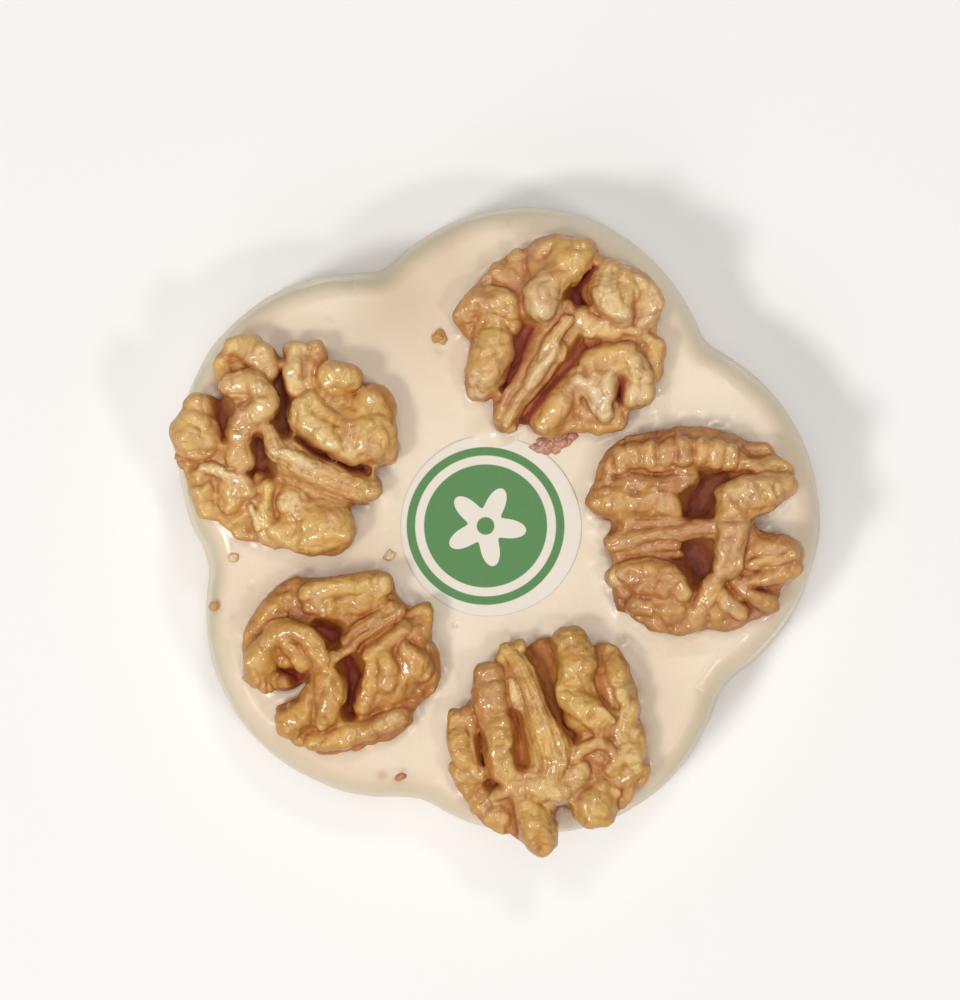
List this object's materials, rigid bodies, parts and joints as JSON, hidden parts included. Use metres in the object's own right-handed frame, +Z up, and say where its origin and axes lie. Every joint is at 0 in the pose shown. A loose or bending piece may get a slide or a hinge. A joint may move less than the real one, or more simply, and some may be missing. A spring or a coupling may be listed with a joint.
{
  "type": "walnut processed cheese",
  "caption": "Flower-shaped soft processed cheese, eaten as it is, with walnut halves pressed into its top and a round paper label in the middle.",
  "frame": {"origin": "middle of the flower on the flat underside of the cheese", "axes": "+Z up through the cheese, +X to the right and +Y to the top of the picture"},
  "size_m": [0.0973, 0.0963, 0.0287],
  "materials": {
    "cheese": "smooth, slightly moist cream cheese paste",
    "walnut": "oiled golden brown walnut kernel skin",
    "label_paper": "coated white paper with a green print"
  },
  "bodies": {
    "root": {"cheese": "cheese", "label": "label_paper", "nut_west": "walnut", "nut_north": "walnut", "nut_east": "walnut", "nut_southwest": "walnut", "nut_south": "walnut"}
  },
  "joints": []
}
